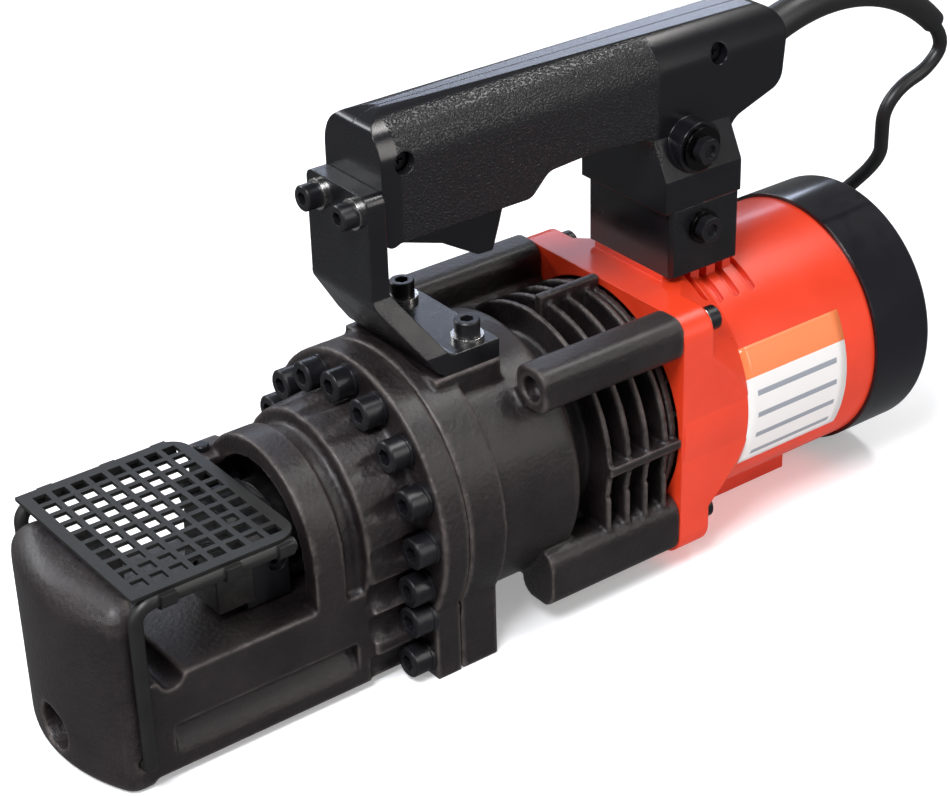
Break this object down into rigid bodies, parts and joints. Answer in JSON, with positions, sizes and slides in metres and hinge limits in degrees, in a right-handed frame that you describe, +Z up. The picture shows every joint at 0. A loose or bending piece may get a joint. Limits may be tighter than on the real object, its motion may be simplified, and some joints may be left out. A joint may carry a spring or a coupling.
{
  "type": "rebar cutter",
  "caption": "Portable electro-hydraulic bar cutter: open-throat steel head with a sliding cutter, finned pump casing, round motor and a trigger handle on top.",
  "frame": {"origin": "on the surface that the tool stands on, under the middle of its box without the cord", "axes": "+Z up, +X from the cutting head towards the motor, +Y to the tool's far side"},
  "size_m": [0.5848, 0.299, 0.277],
  "materials": {
    "cast_black": "rough cast iron under a thin brown-black paint, satin",
    "tool_steel": "ground hardened tool steel",
    "bright_steel": "bright zinc-plated steel",
    "black_oxide": "black oxide steel, slightly glossy",
    "guard_metal": "dull olive-black painted sheet steel",
    "black_plate": "black powder coat, satin",
    "grip_plastic": "black glass-filled nylon, pebbled sides",
    "red_housing": "bright orange-red moulded housing, semi-gloss",
    "cap_plastic": "glossy black moulded cap",
    "rubber": "black rubber",
    "copper": "enamelled copper",
    "brass": "plain brass",
    "carbon": "carbon brush",
    "aluminium": "machined aluminium",
    "white_nylon": "natural nylon"
  },
  "bodies": {
    "frame": {"head_frame": "cast_black", "fixed_cutter": "tool_steel", "fixed_cutter_screw": "black_oxide", "rod_wiper": "rubber", "return_spring": "tool_steel", "cylinder_liner": "tool_steel", "stopper_lock_screw": "black_oxide", "flange_bolts": "black_oxide", "flange_washers": "black_oxide", "pump_casing": "cast_black", "oil_plug": "black_oxide", "oil_bladder": "rubber", "pump_block": "tool_steel", "pump_plunger": "tool_steel", "bearing_plate": "aluminium", "ball_bearings": "tool_steel", "stator": "tool_steel", "field_coils": "copper", "brushes": "carbon", "brush_holders": "brass", "brush_carrier": "white_nylon", "motor_housing": "red_housing", "housing_bolts": "black_oxide", "housing_washers": "bright_steel", "end_cap": "cap_plastic", "end_cap_screws": "black_oxide", "handle_bracket": "black_plate", "bracket_screws": "black_oxide", "handle_washers": "bright_steel", "mount_block": "black_plate", "mount_bolts": "black_oxide", "handle_left": "grip_plastic", "handle_right": "grip_plastic", "handle_screws": "black_oxide", "trigger_pin": "tool_steel", "trigger_spring": "tool_steel", "switch_body": "white_nylon", "cord_boot": "rubber", "cord": "rubber", "cord_coil": "rubber", "cord_tie": "rubber", "plug": "rubber"},
    "guard": {"guard_plate": "guard_metal", "guard_wires": "guard_metal", "guard_clips": "guard_metal"},
    "piston": {"piston": "tool_steel", "piston_seal": "rubber", "cutter_holder": "black_oxide", "moving_cutter": "tool_steel", "moving_cutter_screws": "black_oxide"},
    "stopper": {"stopper_screw": "black_oxide"},
    "release_valve": {"release_valve": "bright_steel"},
    "trigger": {"trigger": "grip_plastic"},
    "armature": {"armature_shaft": "tool_steel", "armature_core": "tool_steel", "commutator": "copper", "cooling_fan": "white_nylon"},
    "eccentric": {"eccentric_shaft": "tool_steel", "eccentric_bearing": "tool_steel", "drive_gear": "tool_steel"}
  },
  "joints": [
    {"name": "piston_slide", "type": "slide", "parent": "frame", "child": "piston", "axis": [-1, 0, 0], "range_m": [0, 0.034], "stiffness_N_per_m": 4000, "springref_m": -0.03, "deforming": ["return_spring"]},
    {"name": "guard_hinge", "type": "hinge", "parent": "frame", "child": "guard", "pos_m": [-0.2345, 0, 0.016], "axis": [0, -1, 0], "range_deg": [0, 95]},
    {"name": "stopper_slide", "type": "slide", "parent": "frame", "child": "stopper", "axis": [-1, 0, 0], "range_m": [0, 0.012]},
    {"name": "release_turn", "type": "hinge", "parent": "frame", "child": "release_valve", "pos_m": [-0.03, 0.07, 0.078], "axis": [0, 1, 0], "range_deg": [0, 90]},
    {"name": "trigger_press", "type": "hinge", "parent": "frame", "child": "trigger", "pos_m": [-0.0545, 0, 0.222], "axis": [0, -1, 0], "range_deg": [0, 8], "stiffness_Nm_per_rad": 2, "springref_deg": -5.73, "deforming": ["trigger_spring"]},
    {"name": "armature_spin", "type": "hinge", "parent": "frame", "child": "armature", "pos_m": [0.1195, 0, 0.078], "axis": [1, 0, 0], "continuous": true},
    {"name": "eccentric_spin", "type": "hinge", "parent": "frame", "child": "eccentric", "pos_m": [0.0295, 0, 0.056], "axis": [1, 0, 0], "continuous": true}
  ],
  "couplings": [
    {"joint": "eccentric_spin", "follows": "armature_spin", "ratio": -0.29412}
  ]
}
